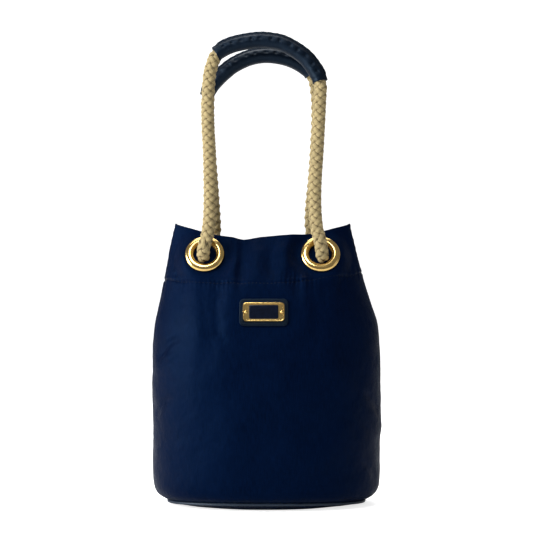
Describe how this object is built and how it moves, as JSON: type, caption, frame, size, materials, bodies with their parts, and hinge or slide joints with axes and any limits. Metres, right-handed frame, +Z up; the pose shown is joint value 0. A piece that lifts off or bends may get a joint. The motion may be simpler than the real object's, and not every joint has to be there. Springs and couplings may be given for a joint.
{
  "type": "bucket bag",
  "caption": "Soft nylon bucket bag with an oval base, gathered mouth, metal grommets and rope shoulder handles with sewn leather grips.",
  "frame": {"origin": "on the floor under the middle of the bag's box, at the lowest face of the base", "axes": "+Z up along the standing bag, -Y out of the front panel that carries the badge, +X to the right seen from the front"},
  "size_m": [0.2052, 0.124, 0.4211],
  "materials": {
    "outer_nylon": "satin woven nylon",
    "piping_nylon": "satin nylon piping",
    "lining_cloth": "matt woven lining",
    "navy_leather": "smooth grained leather",
    "gold_metal": "polished gold plate",
    "dark_enamel": "gloss enamel",
    "beige_rope": "braided rope",
    "base_board": "plain board"
  },
  "bodies": {
    "root": {"front_panel": "outer_nylon", "back_panel": "outer_nylon", "front_hem": "outer_nylon", "back_hem": "outer_nylon", "lining": "lining_cloth", "base_panel": "outer_nylon", "base_insert": "base_board", "base_piping": "piping_nylon", "badge_backing": "navy_leather", "badge_plate": "gold_metal", "badge_enamel": "dark_enamel", "badge_rivet_left": "gold_metal", "badge_rivet_right": "gold_metal", "rope_link_left": "beige_rope", "rope_link_right": "beige_rope", "front_grommet_left": "gold_metal", "front_washer_left": "gold_metal", "front_grommet_right": "gold_metal", "front_washer_right": "gold_metal", "back_grommet_left": "gold_metal", "back_washer_left": "gold_metal", "back_grommet_right": "gold_metal", "back_washer_right": "gold_metal"},
    "front_handle": {"front_rope_left": "beige_rope", "front_rope_right": "beige_rope", "front_grip": "navy_leather"},
    "back_handle": {"back_rope_left": "beige_rope", "back_rope_right": "beige_rope", "back_grip": "navy_leather"}
  },
  "joints": [
    {"name": "front_handle_swing", "type": "hinge", "parent": "root", "child": "front_handle", "pos_m": [0, -0.03144, 0.22856], "axis": [1, 0, 0], "range_deg": [0, 150]},
    {"name": "back_handle_swing", "type": "hinge", "parent": "root", "child": "back_handle", "pos_m": [0, 0.03251, 0.22856], "axis": [-1, 0, 0], "range_deg": [0, 150]}
  ]
}
